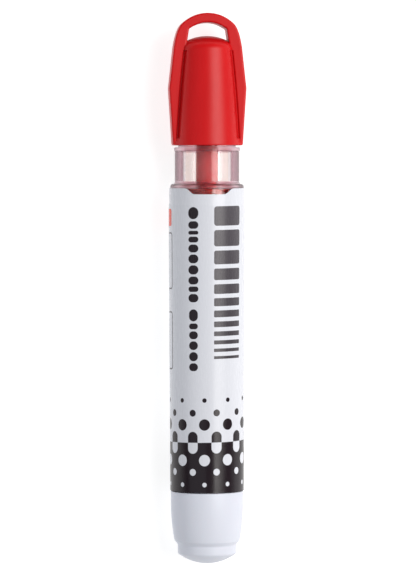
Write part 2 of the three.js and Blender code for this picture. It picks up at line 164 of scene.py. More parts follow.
class Shader:
    """A material with one Principled surface, and the methods that add nodes to it."""

    def __init__(self, name: str) -> None:
        """Starts an empty material.

        Args:
            name: The material's name, in a maker's words.
        """
        self.material = bpy.data.materials.new(name)
        self.material.use_nodes = True
        self.tree = self.material.node_tree
        self.surface = self.tree.nodes["Principled BSDF"]

    def node(
        self,
        kind: str,
        settings: dict[str, object] | None = None,
        inputs: dict[str | int, object] | None = None,
        output: str | int = 0,
    ) -> Value:
        """Adds any node.

        Args:
            kind: The node's type.
            settings: Its own settings, which are set first.
            inputs: Values or links of its sockets, by name or by number.
            output: The socket that is given back.

        Returns:
            The chosen output.
        """
        made = self.tree.nodes.new(kind)
        for name, setting in (settings or {}).items():
            setattr(made, name, setting)
        for name, given in (inputs or {}).items():
            self._feed(made.inputs[name], given)
        return Value(self, made.outputs[output])

    def _feed(self, socket: bpy.types.NodeSocket, given: object) -> None:
        """Links a value to a socket, or sets the socket's own number or colour.

        Args:
            socket: The socket.
            given: A value, or a plain number, colour or vector.
        """
        if isinstance(given, Value):
            self.tree.links.new(given.socket, socket)
        else:
            socket.default_value = given

    def math(self, operation: str, *terms: "Value | float") -> Value:
        """Adds a Math node on one to three terms."""
        return self.node("ShaderNodeMath", {"operation": operation}, dict(enumerate(terms)))

    def mix(self, factor: "Value | float", low: object, high: object) -> Value:
        """Mixes two colours by a factor."""
        colours = {0: factor, 6: low, 7: high}
        return self.node("ShaderNodeMix", {"data_type": "RGBA"}, colours, output=2)

    def place(self) -> Value:
        """Where a point is on the marker, in metres in the frame's axes."""
        return self.node("ShaderNodeTexCoord", output="Object")

    def axes(self) -> tuple[Value, Value, Value]:
        """Splits the place along the frame's axes.

        Returns:
            Its parts across the marker, along it and up, in metres.
        """
        split = self.tree.nodes.new("ShaderNodeSeparateXYZ")
        self.tree.links.new(self.place().socket, split.inputs[0])
        across, along, up = (Value(self, socket) for socket in split.outputs)
        return across, along, up

    def noise(self, size: float, detail: float = 2.0, grain: float = 1.0) -> Value:
        """Soft random patches between nought and one.

        Args:
            size: Size of a patch across the marker, in millimetres.
            detail: How much finer detail it has.
            grain: How many times longer a patch is along the marker.

        Returns:
            The noise.
        """
        across = 1 / (size * MM)
        scale = (across, across / grain, across)
        place = self.node("ShaderNodeMapping", None, {"Vector": self.place(), "Scale": scale})
        return self.node(
            "ShaderNodeTexNoise", None, {"Vector": place, "Scale": 1.0, "Detail": detail}
        )

    def bump(self, height: Value, depth: float) -> Value:
        """Raises the surface by a height map.

        Args:
            height: The map, from nought to one.
            depth: Height of a full step, in millimetres.

        Returns:
            The normal.
        """
        inputs = {"Height": height, "Distance": depth * MM, "Strength": 1.0}
        return self.node("ShaderNodeBump", None, inputs)

    def finish(self, **sockets: object) -> bpy.types.Material:
        """Feeds the surface's sockets.

        Args:
            sockets: What each socket is given, by its name with _ for a space.

        Returns:
            The material.
        """
        for name, given in sockets.items():
            self._feed(self.surface.inputs[name.replace("_", " ")], given)
        return self.material


def rgb(red: float, green: float, blue: float) -> tuple[float, float, float, float]:
    """Turns a colour's display values into linear light, as a shader takes it.

    Args:
        red: Red, from 0 to 255.
        green: Green.
        blue: Blue.

    Returns:
        The colour, opaque.
    """

    def linear(part: float) -> float:
        """One channel in linear light."""
        share = part / 255
        return share / 12.92 if share <= 0.04045 else ((share + 0.055) / 1.055) ** 2.4

    return (linear(red), linear(green), linear(blue), 1.0)


# ---------------- finishes


@dataclass(frozen=True)
class MouldedPlastic:
    """Opaque moulded plastic with a fine satin surface and faint flow marks."""

    name: str
    colour: tuple[float, float, float]
    flow_colour: tuple[float, float, float]
    roughness: float = 0.36
    roughness_spread: float = 0.1
    shine: float = 0.5
    depth: float = 0.0
    depth_reach: float = 1.5
    grain: float = 0.012

    def material(self) -> bpy.types.Material:
        """Builds the finish.

        Returns:
            The material, with flow marks in the colour, uneven gloss and a fine grain.
        """
        shader = Shader(self.name)
        flow = shader.noise(size=7.0, detail=3.0, grain=3.0).soft_step(0.5, 0.25)
        colour = shader.mix(flow, rgb(*self.colour), rgb(*self.flow_colour))
        gloss = shader.noise(size=1.6, detail=4.0)
        rough = gloss * self.roughness_spread + (self.roughness - self.roughness_spread / 2)
        skin = shader.noise(size=0.16, detail=2.0)
        swell = shader.noise(size=5.0, detail=1.0, grain=1.5)
        reach = self.depth_reach * MM
        return shader.finish(
            Base_Color=colour,
            Roughness=rough,
            Normal=shader.bump(skin + swell * 4.0, self.grain),
            Subsurface_Weight=self.depth,
            Subsurface_Radius=(reach, reach * 0.6, reach * 0.6),
            Subsurface_Scale=1.0,
            Specular_IOR_Level=self.shine,
            IOR=1.49,
        )


@dataclass(frozen=True)
class ClearPlastic:
    """Clear or milky moulded plastic that light passes through.

    The edge colour, partly the plastic's own tint and partly a painted shade for the darker
    refraction at the tube's edges, shows on faces seen edge-on that are further from the axis
    than the skin radius, and the plastic is satin between the two heights of each satin band.
    """

    name: str
    tint: tuple[float, float, float]
    edge_tint_and_shade: tuple[float, float, float]
    clearness: float = 1.0
    roughness: float = 0.05
    grain: float = 0.01
    bending: float = 1.49
    edge_start: float = 0.34
    edge_blur: float = 0.16
    skin_radius: float = 0.0
    satin_bands: tuple[tuple[float, float], ...] = ()
    satin_tint: tuple[float, float, float] = (255, 255, 255)
    satin_roughness: float = 0.0

    def material(self, site: "Site") -> bpy.types.Material:
        """Builds the finish.

        Args:
            site: Where the marker's axis lies.

        Returns:
            The material, with drawn-out flow lines and slightly uneven gloss.
        """
        shader = Shader(self.name)
        flow = shader.noise(size=1.8, detail=2.0, grain=6.0)
        rough = flow * 0.06 + self.roughness
        lines = shader.bump(shader.noise(size=0.9, detail=2.0, grain=9.0), self.grain)
        red, green, blue = self.tint
        colour = shader.mix(flow, rgb(red, green, blue), rgb(red - 3, green - 5, blue - 4))
        grazing = shader.node("ShaderNodeLayerWeight", None, {"Blend": 0.5}, "Facing")
        across, along, up = shader.axes()
        lift = up - site.axis_height * MM
        radius = shader.math("SQRT", across * across + lift * lift) / MM
        on_skin = radius.soft_step(self.skin_radius, 0.1)
        # painted shade: faces seen edge-on beyond the skin radius take the darker edge colour,
        # standing in for the dark refraction at the tube's edges
        edge_shade_share = grazing.soft_step(self.edge_start, self.edge_blur) * on_skin
        colour = shader.mix(edge_shade_share, colour, rgb(*self.edge_tint_and_shade))
        for low, high in self.satin_bands:
            distance = abs(along / MM + (site.middle - (low + high) / 2))
            grey_ink_and_painted_sheen = 1 - distance.soft_step((high - low) / 2, 0.15)
            colour = shader.mix(grey_ink_and_painted_sheen, colour, rgb(*self.satin_tint))
            rough = rough + grey_ink_and_painted_sheen * self.satin_roughness
        return shader.finish(
            Base_Color=colour,
            Roughness=rough,
            Normal=lines,
            Transmission_Weight=self.clearness,
            IOR=self.bending,
        )


@dataclass(frozen=True)
class InkedFibre:
    """Bundled fibres soaked with ink, running along the marker."""

    name: str
    colour: tuple[float, float, float]
    dry_colour: tuple[float, float, float]
    fibre: float = 0.22
    roughness: float = 0.55

    def material(self) -> bpy.types.Material:
        """Builds the finish.

        Returns:
            The material, with fibres in the colour, the gloss and the relief.
        """
        shader = Shader(self.name)
        strands = shader.noise(size=self.fibre, detail=3.0, grain=26.0)
        soak = shader.noise(size=3.2, detail=2.0, grain=2.0)
        share = (strands * 0.65 + soak * 0.35).soft_step(0.5, 0.22)
        colour = shader.mix(share, rgb(*self.colour), rgb(*self.dry_colour))
        return shader.finish(
            Base_Color=colour,
            Roughness=strands * 0.2 + (self.roughness - 0.1),
            Normal=shader.bump(strands, 0.05),
            Subsurface_Weight=0.15,
            Subsurface_Radius=(0.0012, 0.0005, 0.0005),
            Subsurface_Scale=1.0,
            Sheen_Weight=0.15,
            Sheen_Roughness=0.5,
        )


@dataclass(frozen=True)
class WrapFilm:
    """Thin clear film wrapped round the ink reservoir, faintly creased."""

    name: str = "Reservoir film"
    tint: tuple[float, float, float] = (250, 226, 224)

    def material(self) -> bpy.types.Material:
        """Builds the finish.

        Returns:
            The material, with shallow creases round the reservoir.
        """
        shader = Shader(self.name)
        creases = shader.noise(size=1.1, detail=3.0, grain=0.5)
        return shader.finish(
            Base_Color=rgb(*self.tint),
            Roughness=creases * 0.12 + 0.06,
            Normal=shader.bump(creases, 0.03),
            Transmission_Weight=1.0,
            IOR=1.2,
        )


# ---------------- the printed label


class Bar(Enum):
    """How the ends of a printed bar are drawn."""

    SQUARE = 0.15
    ROUNDED = 0.5


@dataclass(frozen=True)
class Mark:
    """A printed rectangle, placed by its middle.

    Angles count round the marker from the middle of the front, to the right, in degrees;
    heights count from the tip of the tail, in millimetres.
    """

    angle: float
    height: float
    width: float
    length: float
    ends: Bar = Bar.SQUARE
    line: float = 0.0
    corner: float | None = None

    def cover(self, label: "LabelSurface") -> Value:
        """Where the mark is printed.

        Args:
            label: The label's own coordinates.

        Returns:
            One on the mark and nought off it.
        """
        corner = self.corner
        if corner is None:
            corner = self.ends.value * min(self.width, self.length)
        across = abs(label.across(self.angle)) - (self.width / 2 - corner)
        along = abs(label.height - self.height) - (self.length / 2 - corner)
        outside = label.reach(across.most(0.0), along.most(0.0))
        distance = outside + across.most(along).least(0.0) - corner
        if self.line:
            distance = abs(distance + self.line / 2) - self.line / 2
        return label.inside(distance)


@dataclass
class LabelSurface:
    """Coordinates on the wrapped label, in millimetres, and the shapes drawn in them."""

    shader: Shader
    axis_height: float
    middle: float
    radius: float
    slant: float
    angle: Value = field(init=False)
    height: Value = field(init=False)

    def __post_init__(self) -> None:
        """Works out the angle round the marker and the height along it."""
        across, along, up = self.shader.axes()
        self.angle = self.shader.math("ARCTAN2", across, up - self.axis_height * MM)
        plain = along / MM + self.middle
        self.height = plain - self.angle * (self.radius * self.slant)

    def across(self, angle: float) -> Value:
        """Distance round the label from a line at an angle in degrees."""
        return (self.angle - math.radians(angle)) * self.radius

    def square(self, value: Value) -> Value:
        """A value times itself."""
        return value * value

    def reach(self, across: Value, along: Value) -> Value:
        """How far two distances at right angles reach together."""
        return self.shader.math("SQRT", self.square(across) + self.square(along))

    def inside(self, distance: Value) -> Value:
        """One where a distance to an outline is under nought, with a clean printed edge."""
        return 1 - distance.soft_step(0.0, PRINT_BLUR)

    def column_offset(self, first: float, pitch: float) -> Value:
        """Distance round the label to the nearest of a ring of columns.

        Args:
            first: Angle of one column, in degrees.
            pitch: Angle from column to column, in degrees.

        Returns:
            The distance, in millimetres.
        """
        turn = math.radians(pitch)
        return (self.angle - math.radians(first)).wrapped(-turn / 2, turn / 2) * self.radius

    def dot(self, offset: Value, height: Value, middle: float, radius: float) -> Value:
        """Where a dot covers, its middle at a height from the edge of the dark band."""
        return self.inside(self.reach(offset, height - middle) - radius)

    def arch(self, offset: Value, height: Value, top: float, radius: float) -> Value:
        """Where an arch covers, from the edge of the dark band up to its rounded top."""
        return self.inside(self.reach(offset, (height - top).most(0.0)) - radius)


@dataclass(frozen=True)
class PrintedFilm:
    """The label's printed plastic film: white, with a dark band that breaks up into dots.

    The arch and each dot have a height from the band's edge and a radius.
    """

    name: str = "Printed label"
    white: tuple[float, float, float] = (217, 219, 227)
    dark: tuple[float, float, float] = (30, 20, 27)
    grey: tuple[float, float, float] = (44, 38, 44)
    # light end of the grey print: a painted sheen
    sheen_grey: tuple[float, float, float] = (92, 88, 94)
    accent: tuple[float, float, float] = (228, 62, 36)
    roughness: float = 0.27
    slant: float = 0.0175
    band_edge: float = 30.1
    column_pitch: float = 37.4
    arch_column: float = 10.9
    dot_column: float = -7.9
    arch: Point = (1.35, 1.3)
    dots: tuple[Point, ...] = ((4.3, 1.38), (7.15, 0.83), (10.2, 0.55))
    marks_dark: tuple[Mark, ...] = ()
    marks_grey: tuple[Mark, ...] = ()
    marks_accent: tuple[Mark, ...] = ()

    def halftone(self, label: LabelSurface) -> Value:
        """The dark band and the dots it breaks up into, mirrored above and below its edge.

        Args:
            label: The label's own coordinates.

        Returns:
            One where the print is dark.
        """
        from_edge = label.height - self.band_edge
        height = abs(from_edge)
        arches = label.column_offset(self.arch_column, self.column_pitch)
        dots = label.column_offset(self.dot_column, self.column_pitch)
        shapes = label.arch(arches, height, *self.arch)
        for column, (place, radius) in zip((dots, arches, dots), self.dots):
            shapes = shapes.most(label.dot(column, height, place, radius))
        return abs(label.inside(from_edge) - shapes)

    def material(self, axis_height: float, middle: float, radius: float) -> bpy.types.Material:
        """Builds the finish.

        Args:
            axis_height: The marker's axis over the table, in millimetres.
            middle: Height along the marker that lies over the frame's origin.
            radius: The label's outer radius.

        Returns:
            The material, with the print, its gloss, a painted sheen that lightens the grey print
            towards the cap, and the film's faint waves.
        """
        shader = Shader(self.name)
        label = LabelSurface(shader, axis_height, middle, radius, self.slant)
        colour = rgb(*self.white)
        # painted sheen: the grey print turns lighter towards the cap end
        painted_sheen_share = label.height / 90.0 - 0.2
        grey_ink_and_painted_sheen = shader.mix(painted_sheen_share, rgb(*self.grey), rgb(*self.sheen_grey))
        for marks, ink in (
            (self.marks_accent, rgb(*self.accent)),
            (self.marks_dark, rgb(*self.dark)),
            (self.marks_grey, grey_ink_and_painted_sheen),
        ):
            for mark in marks:
                colour = shader.mix(mark.cover(label), colour, ink)
        dark = self.halftone(label)
        colour = shader.mix(dark, colour, rgb(*self.dark))
        waves = shader.noise(size=6.0, detail=2.0, grain=2.5)
        scuffs = shader.noise(size=0.5, detail=4.0, grain=5.0)
        rough = scuffs * 0.1 + (self.roughness - 0.05)
        return shader.finish(
            Base_Color=colour,
            Roughness=rough - dark * 0.04,
            Normal=shader.bump(waves + dark * 0.06, 0.03),
            Specular_IOR_Level=0.36,
            IOR=1.45,
        )


# ---------------- building meshes


@dataclass
class Outline:
    """Half of a section: points of radius and height, walked round the wall of a turned piece."""

    points: list[Point] = field(default_factory=list)

    def to(self, *points: Point) -> "Outline":
        """Runs straight to each point."""
        self.points.extend(points)
        return self

    def bend(self, guide: Point, end: Point, steps: int = 12) -> "Outline":
        """Curves to an end, leaving and arriving along the lines to a guide point.

        Args:
            guide: The guide point.
            end: Where the curve ends.
            steps: Straight steps along it.

        Returns:
            The outline.
        """
        start = self.points[-1]
        for step in range(1, steps + 1):
            share = step / steps
            rest = 1 - share
            self.points.append(
                tuple(
                    rest * rest * a + 2 * rest * share * b + share * share * c
                    for a, b, c in zip(start, guide, end)
                )
            )
        return self

    def corner(
        self, point: Point, toward: Point, cut: float, start: Point | None = None
    ) -> "Outline":
        """Runs to a corner and rounds it off.

        Args:
            point: Where the sharp corner would be.
            toward: Where the line goes next.
            cut: How much of each side the rounding takes.
            start: Where the line comes from, when that isn't the last point.

        Returns:
            The outline.
        """
        here = Vector(point)
        before, after = (
            tuple(here + (Vector(end) - here).normalized() * cut)
            for end in (start or self.points[-1], toward)
        )
        return self.to(before).bend(point, after, CORNER_STEPS)

    def path(self, corners: Iterable[tuple[Point, float]]) -> "Outline":
        """Runs through corners, each rounded by its own cut, and back to the first.

        Args:
            corners: Each corner with the cut that rounds it.

        Returns:
            The outline.
        """
        listed = list(corners)
        for index, (point, cut) in enumerate(listed):
            if cut:
                toward = listed[(index + 1) % len(listed)][0]
                self.corner(point, toward, cut, listed[index - 1][0])
            else:
                self.to(point)
        return self

    def arc(self, radius: float, top: float, reach: float, steps: int) -> "Outline":
        """Runs in to the axis along a circle.

        Args:
            radius: The circle's radius.
            top: Height where it crosses the axis.
            reach: How far from the axis it starts.
            steps: Straight steps along it.

        Returns:
            The outline.
        """
        turn = math.asin(reach / radius)
        for step in range(1, steps + 1):
            at = turn * (1 - step / steps)
            self.to((radius * math.sin(at), top - radius + radius * math.cos(at)))
        return self


def arc_foot(radius: float, top: float, reach: float) -> Point:
    """Where a circle that crosses the axis at a height is a reach away from it."""
    return (reach, top - radius + math.sqrt(radius**2 - reach**2))


def sleeve(inner: float, outer: float, ends: Point, inner_cut: float, outer_cut: float) -> Outline:
    """Draws the section of a plain tube.

    Args:
        inner: The bore's radius.
        outer: The outer radius.
        ends: The two heights that it runs between.
        inner_cut: How much the bore's edges are rounded.
        outer_cut: How much the outer edges are rounded.

    Returns:
        The section.
    """
    low, high = ends
    return Outline().path(
        [
            ((inner, low), inner_cut),
            ((outer, low), outer_cut),
            ((outer, high), outer_cut),
            ((inner, high), inner_cut),
        ]
    )


class Form:
    """A mesh under construction, in millimetres round the marker's axis, which runs along Y."""

    def __init__(self) -> None:
        """Starts an empty mesh."""
        self.mesh = bmesh.new()

    def turn(self, outline: Outline, closed: bool = True, steps: int = ROUND_STEPS) -> "Form":
        """Spins an outline a full turn round the axis.

        Args:
            outline: Radius and height of each point.
            closed: Whether the outline ends where it began.
            steps: Faces round the turn.

        Returns:
            The form.
        """
        points = [self.mesh.verts.new((radius, height, 0)) for radius, height in outline.points]
        pairs = list(zip(points, points[1:]))
        if closed:
            pairs.append((points[-1], points[0]))
        edges = [self.mesh.edges.new(pair) for pair in pairs]
        bmesh.ops.spin(
            self.mesh,
            geom=[*points, *edges],
            cent=(0, 0, 0),
            axis=(0, 1, 0),
            angle=math.tau,
            steps=steps,
            use_merge=True,
        )
        return self.clean()

    def shift(self, up: float) -> "Form":
        """Moves the form up, off the axis."""
        bmesh.ops.translate(self.mesh, verts=self.mesh.verts, vec=(0, 0, up))
        return self

    def wall(self, thickness: float) -> "Form":
        """Gives an open skin round the axis its thickness, on the inside.

        Args:
            thickness: The wall's thickness.

        Returns:
            The form.
        """
        faces = self.mesh.faces
        bmesh.ops.recalc_face_normals(self.mesh, faces=faces)
        level = Vector((1, 0, 1))
        if sum(face.normal.dot(face.calc_center_median() * level) for face in faces) < 0:
            bmesh.ops.reverse_faces(self.mesh, faces=faces)
        bmesh.ops.solidify(self.mesh, geom=self.mesh.faces, thickness=thickness)
        bmesh.ops.recalc_face_normals(self.mesh, faces=self.mesh.faces)
        return self

    def clean(self) -> "Form":
        """Merges doubles, drops faces with no area and points the rest outwards.

        Returns:
            The form.
        """
        bmesh.ops.remove_doubles(self.mesh, verts=self.mesh.verts, dist=MERGE_DISTANCE)
        bmesh.ops.dissolve_degenerate(self.mesh, edges=self.mesh.edges, dist=MERGE_DISTANCE / 2)
        bmesh.ops.recalc_face_normals(self.mesh, faces=self.mesh.faces)
        return self

    def slab(self, outline: Iterable[Point], half: float, rounding: float) -> "Form":
        """Extrudes a flat outline across the axis and rounds its long edges.

        Args:
            outline: Points across and along the marker.
            half: Half of the slab's thickness, to each side of the axis.
            rounding: How much the edges are rounded.

        Returns:
            The form.
        """
        points = [self.mesh.verts.new((x, y, -half)) for x, y in outline]
        face = self.mesh.faces.new(points)
        made = bmesh.ops.extrude_face_region(self.mesh, geom=[face])["geom"]
        lifted = [part for part in made if isinstance(part, bmesh.types.BMVert)]
        bmesh.ops.translate(self.mesh, verts=lifted, vec=(0, 0, 2 * half))
        bmesh.ops.recalc_face_normals(self.mesh, faces=self.mesh.faces)
        rims = [edge for edge in self.mesh.edges if edge.calc_face_angle(0) > RIM_ANGLE]
        bmesh.ops.bevel(
            self.mesh,
            geom=rims,
            offset=rounding,
            offset_type="OFFSET",
            segments=CORNER_STEPS,
            profile=0.5,
            affect="EDGES",
            material=-1,
            clamp_overlap=True,
        )
        return self.clean()

    def loft(self, rings: list[list[Vector]]) -> "Form":
        """Bridges closed rings of points one after another and closes both ends.

        Args:
            rings: The rings, from one end to the other.

        Returns:
            The form.
        """
        previous: list[bmesh.types.BMEdge] = []
        for index, ring in enumerate(rings):
            points = [self.mesh.verts.new(point) for point in ring]
            edges = [self.mesh.edges.new((a, b)) for a, b in zip(points, points[1:] + points[:1])]
            if index in (0, len(rings) - 1):
                self.mesh.faces.new(points)
            if previous:
                bmesh.ops.bridge_loops(self.mesh, edges=previous + edges)
            previous = edges
        return self.clean()

    def place(self, name: str, site: "Site") -> bpy.types.Object:
        """Moves the form to its place in the frame, in metres, as a new object.

        Args:
            name: The object's name.
            site: Where the marker's axis lies.

        Returns:
            The object, with smooth shading between its sharp edges.
        """
        bmesh.ops.transform(self.mesh, matrix=site.matrix(), verts=self.mesh.verts)
        data = bpy.data.meshes.new(name)
        self.mesh.to_mesh(data)
        self.mesh.free()
        made = bpy.data.objects.new(name, data)
        bpy.context.scene.collection.objects.link(made)
        shade(made)
        return made


@dataclass(frozen=True)
class Site:
    """Where the marker's axis lies in the frame, in millimetres."""

    axis_height: float
    middle: float

    def matrix(self) -> Matrix:
        """Takes millimetres round the axis to metres in the frame."""
        return Matrix.Scale(MM, 4) @ Matrix.Translation((0, -self.middle, self.axis_height))

    @staticmethod
    def of_frame() -> "Site":
        """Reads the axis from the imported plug, which is round about it, and from the whole box.

        Returns:
            The axis.
        """
        low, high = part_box("tail_plug")
        start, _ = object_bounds()
        return Site((low.z + high.z) / 2 / MM, -start.y / MM)


def shade(piece: bpy.types.Object) -> None:
    """Shades a piece smooth, with sharp edges where its faces meet at a clear angle."""
    piece.data.shade_smooth()
    piece.data.set_sharp_from_angle(angle=SHARP_ANGLE)


def combine(
    base: bpy.types.Object, others: Iterable[bpy.types.Object], operation: str
) -> bpy.types.Object:
    """Joins or cuts solids and keeps the result as the first one's own mesh.

    Args:
        base: The solid that is kept.
        others: The solids that are added to it or cut from it, and then removed.
        operation: UNION or DIFFERENCE.

    Returns:
        The base, with its new mesh.
    """
    for other in others:
        modifier = base.modifiers.new("Combine", "BOOLEAN")
        modifier.operation = operation
        modifier.solver = "EXACT"
        modifier.object = other
        graph = bpy.context.evaluated_depsgraph_get()
        graph.update()
        data = bpy.data.meshes.new_from_object(base.evaluated_get(graph))
        base.modifiers.clear()
        old = base.data
        base.data = data
        bpy.data.meshes.remove(old)
        waste = other.data
        bpy.data.objects.remove(other)
        bpy.data.meshes.remove(waste)
    return base


@dataclass
class SubAssembly:
    """A group of pieces round the marker's axis that ride on one body."""

    site: Site
    body: ClassVar[Body] = Body.BARREL

    def turned(self, name: str, outline: Outline, closed: bool = False) -> bpy.types.Object:
        """Turns an outline about the axis, at its place in the frame."""
        return Form().turn(outline, closed).place(name, self.site)

    def dress(
        self, piece: bpy.types.Object, material: bpy.types.Material, node: str, slot: str
    ) -> bpy.types.Object:
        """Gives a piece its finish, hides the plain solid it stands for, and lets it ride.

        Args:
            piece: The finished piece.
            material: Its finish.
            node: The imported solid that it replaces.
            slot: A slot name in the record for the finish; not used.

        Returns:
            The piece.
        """
        piece.data.materials.clear()
        piece.data.materials.append(material)
        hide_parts(node)
        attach(piece, self.body.value)
        log.info("%s: %d faces on %s", piece.name, len(piece.data.polygons), self.body.value)
        return piece


# ---------------- finishes of this marker

CAP_RED = MouldedPlastic(
    name="Red cap plastic",
    colour=(206, 12, 17),
    flow_colour=(198, 9, 15),
    roughness=0.38,
    shine=0.26,
    depth=0.04,
)
LINER_WHITE = MouldedPlastic(
    name="Natural liner plastic",
    colour=(226, 224, 216),
    flow_colour=(219, 216, 208),
    roughness=0.45,
    depth=0.1,
)
TAIL_WHITE = MouldedPlastic(
    name="White tail plastic",
    colour=(219, 222, 233),
    flow_colour=(216, 219, 231),
    roughness=0.42,
    shine=0.4,
    depth=0.05,
)
CLEAR_BARREL = ClearPlastic(
    name="Clear barrel plastic",
    tint=(255, 252, 252),
    # dark mauve edge colour: painted shade on the tube's edge-on faces, partly the plastic's own
    # pink tint
    edge_tint_and_shade=(114, 76, 86),
    roughness=0.04,
    bending=1.32,
    edge_start=0.28,
    edge_blur=0.07,
    skin_radius=6.72,
    satin_bands=((91.2, 93.0), (100.3, 101.6)),
    satin_tint=(240, 208, 216),
    satin_roughness=0.22,
)
MILKY_HOLDER = ClearPlastic(
    name="Milky holder plastic",
    tint=(254, 249, 245),
    edge_tint_and_shade=(250, 240, 234),
    clearness=0.97,
    roughness=0.06,
    bending=1.06,
    satin_bands=((102.6, 116.2),),
    satin_tint=(228, 208, 196),
    satin_roughness=0.2,
)
CORE_FIBRE = InkedFibre(
    name="Inked reservoir fibre",
    colour=(205, 44, 44),
    dry_colour=(222, 84, 72),
)
WICK_FIBRE = InkedFibre(
    name="Inked wick fibre",
    colour=(224, 40, 54),
    dry_colour=(232, 66, 76),
    fibre=0.16,
)
NIB_FIBRE = InkedFibre(
    name="Inked nib fibre",
    colour=(186, 24, 32),
    dry_colour=(206, 62, 62),
    fibre=0.12,
)


# ---------------- sub-assemblies


@dataclass
class BarrelTube(SubAssembly):
    """Clear tube with its shoulder, neck, stop ring and the stub that holds the cap."""

    rear: float = 17.9
    rear_radius: float = 8.72
    front_radius: float = 9.08
    land_start: float = 87.1
    land_radius: float = 8.93
    shoulder: float = 92.4
    shoulder_round: float = 0.8
    inner_shoulder: float = 91.4
    bore: float = 7.6
    neck_bore: float = 6.4
    neck_radius: float = 7.86
    flare_radius: float = 7.98
    flare_length: float = 0.8
    ring_start: float = 100.4
    ring_end: float = 101.2
    stub_radius: float = 7.0
    stub_end: float = 110.0
    bead: float = 105.6
    bead_radius: float = 7.15

    def section(self) -> Outline:
        """Draws the wall, up the outside and down the bore.

        Returns:
            Its section.
        """
        neck = Outline([(self.flare_radius, self.shoulder)]).bend(
            (self.neck_radius, self.shoulder + 0.2),
            (self.neck_radius, self.shoulder + self.flare_length),
            5,
        )
        return Outline().path(
            [
                ((self.bore, self.rear), 0.15),
                ((self.rear_radius, self.rear), 0.15),
                ((self.front_radius, self.land_start), 0.0),
                ((self.land_radius, self.land_start + 0.15), 0.0),
                ((self.land_radius, self.shoulder), self.shoulder_round),
                *((point, 0.0) for point in neck.points),
                ((self.neck_radius, self.ring_start - 0.12), 0.05),
                ((self.flare_radius, self.ring_start), 0.05),
                ((self.flare_radius, self.ring_end), 0.12),
                ((self.stub_radius, self.ring_end), 0.1),
                ((self.stub_radius, self.bead - 0.6), 0.1),
                ((self.bead_radius, self.bead), 0.2),
                ((self.stub_radius, self.bead + 0.6), 0.1),
                ((self.stub_radius, self.stub_end), 0.3),
                ((self.neck_bore, self.stub_end), 0.1),
                ((self.neck_bore, self.inner_shoulder), 0.1),
                ((self.bore, self.inner_shoulder), 0.4),
            ]
        )

    def build(self) -> bpy.types.Object:
        """Turns the tube and dresses it in clear plastic."""
        tube = self.turned("BarrelTube", self.section(), closed=True)
        return self.dress(tube, CLEAR_BARREL.material(self.site), "barrel", "clear_barrel")


@dataclass
class Label(SubAssembly):
    """Printed film wrapped round the tube, with a window notched into its front edge."""

    rear: float = 17.9
    front: float = 91.35
    step: float = 87.15
    rear_radius: float = 8.97
    wide_radius: float = 9.3295
    land_radius: float = 9.18
    thickness: float = 0.2
    window_floor: float = 89.9
    window_top_half: float = 5.6
    window_floor_half: float = 4.0
    window_round: float = 0.45
    steps: int = 360

    def notch(self, across: float) -> float:
        """Height of the front edge at a distance from the middle of the front.

        Args:
            across: The distance, to either side.

        Returns:
            The height.
        """
        slope = (self.front - self.window_floor) / (self.window_top_half - self.window_floor_half)
        plain = self.window_floor + (abs(across) - self.window_floor_half) * slope
        low, high = self.window_floor, self.front
        soft = self.window_round / 2
        raised = math.hypot(plain - low, soft) * 0.5 + (plain + low) / 2
        return -math.hypot(high - raised, soft) * 0.5 + (high + raised) / 2

    def build(self) -> bpy.types.Object:
        """Turns the film, notches its front edge and gives it its thickness.

        Returns:
            The piece.
        """
        outline = Outline().to(
            (self.rear_radius, self.rear),
            (self.wide_radius - 0.01, self.step - 0.1),
            (self.wide_radius, self.step),
            (self.land_radius, self.step + 0.5),
            (self.land_radius, self.window_floor - 0.35),
            (self.land_radius, self.front),
        )
        form = Form().turn(outline, closed=False, steps=self.steps)
        for vert in form.mesh.verts:
            if vert.co.y > self.front - 0.01 and vert.co.z > 0:
                vert.co.y = self.notch(vert.co.x)
        film = form.wall(self.thickness).place("PrintedLabel", self.site)
        finish = PrintedFilm(
            marks_dark=self.small_line(),
            marks_grey=self.large_column() + self.panels(),
            marks_accent=self.blocks(),
        )
        material = finish.material(self.site.axis_height, self.site.middle, self.wide_radius)
        return self.dress(film, material, "label", "label_film")

    def large_column(self) -> tuple[Mark, ...]:
        """A column of plain bars along the front that shrink towards the tail.

        Returns:
            The marks.
        """
        marks = []
        height, length = 87.0, 4.7
        while length > 0.62:
            marks.append(Mark(30.0, height - length / 2, 7.6, length))
            height -= length + 1.0
            length *= 0.84
        return tuple(marks)

    def small_line(self) -> tuple[Mark, ...]:
        """A line of small rounded bars beside the large column.

        Returns:
            The marks.
        """
        lengths = (2.9, 1.8, 0.9, 1.4, 1.9, 2.1, 2.2, 1.9, 1.3, 2.0)
        marks = []
        height = 86.9
        for weight, line in ((2.6, lengths), (2.3, lengths[:1] + lengths[3:8])):
            for length in line:
                marks.append(Mark(-25.0, height - length / 2, weight, length, Bar.ROUNDED))
                height -= length + 0.5
            height -= 1.2
        return tuple(marks)

    def panels(self) -> tuple[Mark, ...]:
        """Two outlined panels on the left, each with a few thin lines in it.

        Returns:
            The marks.
        """
        marks = []
        for middle, length in ((74.0, 13.8), (54.7, 14.1)):
            marks.append(Mark(-107.5, middle, 12.6, length, line=0.34, corner=0.9))
            for row in range(5):
                line = length - 3.2 - (row % 2) * 2.4
                marks.append(Mark(-127.0 + row * 9.5, middle, 0.5, line, Bar.ROUNDED))
        return tuple(marks)

    def blocks(self) -> tuple[Mark, ...]:
        """The colour block that shows the ink's colour."""
        return (Mark(-110.0, 84.5, 12.6, 4.2, corner=0.7),)


